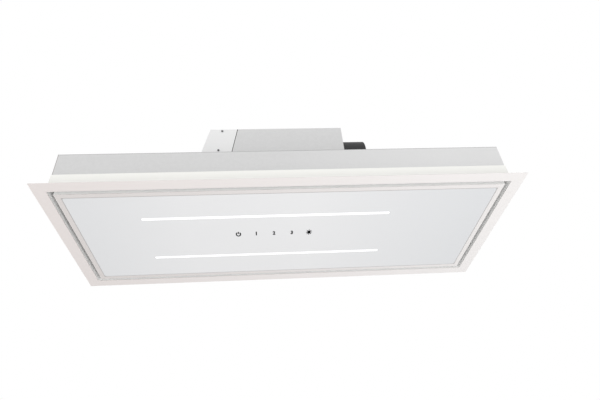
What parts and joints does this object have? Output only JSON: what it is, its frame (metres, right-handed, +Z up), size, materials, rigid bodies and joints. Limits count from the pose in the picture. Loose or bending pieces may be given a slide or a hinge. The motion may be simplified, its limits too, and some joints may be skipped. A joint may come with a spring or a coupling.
{
  "type": "ceiling range hood",
  "caption": "White flanged ceiling range hood with a hinged glass panel, perimeter suction slot, light strips, touch keys, filters and a centrifugal fan with a round side duct outlet.",
  "frame": {"origin": "centre of the flange's underside, level with the face of the glass panel, just under the finished ceiling", "axes": "+X along the hood towards the duct outlet's end, +Y from the front to the hinged long edge at the back, +Z up into the ceiling"},
  "size_m": [1.2, 0.5, 0.285],
  "materials": {
    "white_paint": "satin white powder coat",
    "galvanised": "matt galvanised sheet with a faint spangle",
    "light_steel": "matt light grey coated sheet",
    "bare_steel": "zinc plated",
    "dark_steel": "dark zinc",
    "aluminium": "satin",
    "filter_mesh": "expanded mesh",
    "white_glass": "tempered glass, back-painted white, gloss",
    "opal": "opal light diffuser",
    "black_plastic": "moulded, fine grain",
    "grey_plastic": "moulded, fine grain",
    "white_plastic": "moulded",
    "circuit": "green circuit board",
    "magnet_black": "moulded magnet housing"
  },
  "bodies": {
    "hood": {"flange_frame": "white_paint", "casing": "galvanised", "filter_deck": "white_paint", "filter_frame_1": "aluminium", "filter_frame_2": "aluminium", "filter_frame_3": "aluminium", "filter_mesh_1": "filter_mesh", "filter_mesh_2": "filter_mesh", "filter_mesh_3": "filter_mesh", "hinge_bracket_left": "bare_steel", "hinge_bracket_right": "bare_steel", "hinge_pin_left": "dark_steel", "hinge_pin_right": "dark_steel", "catch_magnet_left": "magnet_black", "catch_magnet_right": "magnet_black", "inlet_ring": "black_plastic", "motor_can": "dark_steel", "motor_end_bell": "aluminium", "stator_core": "dark_steel", "bearing_upper": "bare_steel", "bearing_lower": "bare_steel", "scroll_housing": "grey_plastic", "scroll_lid": "grey_plastic", "blower_box": "galvanised", "end_cover": "light_steel", "cover_screw_upper": "dark_steel", "cover_screw_lower": "dark_steel", "outlet_collar": "black_plastic", "flap_pin": "bare_steel", "power_board": "circuit", "light_driver": "white_plastic", "motor_capacitor": "aluminium", "terminal_block": "white_plastic", "cable_gland": "black_plastic", "suspension_bracket_left_front": "bare_steel", "suspension_bracket_left_back": "bare_steel", "suspension_bracket_right_front": "bare_steel", "suspension_bracket_right_back": "bare_steel"},
    "panel": {"panel_frame": "white_paint", "glass_panel": "white_glass", "panel_tray": "galvanised", "light_diffuser_near": "opal", "light_diffuser_far": "opal", "light_board_near": "circuit", "light_board_far": "circuit", "light_channel_near": "aluminium", "light_channel_far": "aluminium", "touch_board": "circuit", "hinge_leaf_left": "bare_steel", "hinge_leaf_right": "bare_steel", "catch_strike_left": "bare_steel", "catch_strike_right": "bare_steel"},
    "fan_rotor": {"impeller": "grey_plastic", "motor_shaft": "bare_steel", "rotor_core": "bare_steel"},
    "flap_front": {"outlet_flap_front": "black_plastic"},
    "flap_back": {"outlet_flap_back": "black_plastic"},
    "latch_1": {"filter_latch_1": "grey_plastic"},
    "latch_2": {"filter_latch_2": "grey_plastic"},
    "latch_3": {"filter_latch_3": "grey_plastic"}
  },
  "joints": [
    {"name": "panel_hinge", "type": "hinge", "parent": "hood", "child": "panel", "pos_m": [0, 0.184, 0.016], "axis": [1, 0, 0], "range_deg": [0, 80]},
    {"name": "fan_spin", "type": "hinge", "parent": "hood", "child": "fan_rotor", "pos_m": [0.015, 0.015, 0.2], "axis": [0, 0, 1], "continuous": true},
    {"name": "flap_front_swing", "type": "hinge", "parent": "hood", "child": "flap_front", "pos_m": [0.183, -0.057, 0.2], "axis": [0, 0, 1], "range_deg": [0, 75], "stiffness_Nm_per_rad": 0.004},
    {"name": "flap_back_swing", "type": "hinge", "parent": "hood", "child": "flap_back", "pos_m": [0.183, -0.057, 0.2], "axis": [0, 0, -1], "range_deg": [0, 75], "stiffness_Nm_per_rad": 0.004},
    {"name": "latch_1_slide", "type": "slide", "parent": "hood", "child": "latch_1", "axis": [0, 1, 0], "range_m": [0, 0.008], "stiffness_N_per_m": 200},
    {"name": "latch_2_slide", "type": "slide", "parent": "hood", "child": "latch_2", "axis": [0, 1, 0], "range_m": [0, 0.008], "stiffness_N_per_m": 200},
    {"name": "latch_3_slide", "type": "slide", "parent": "hood", "child": "latch_3", "axis": [0, 1, 0], "range_m": [0, 0.008], "stiffness_N_per_m": 200}
  ]
}
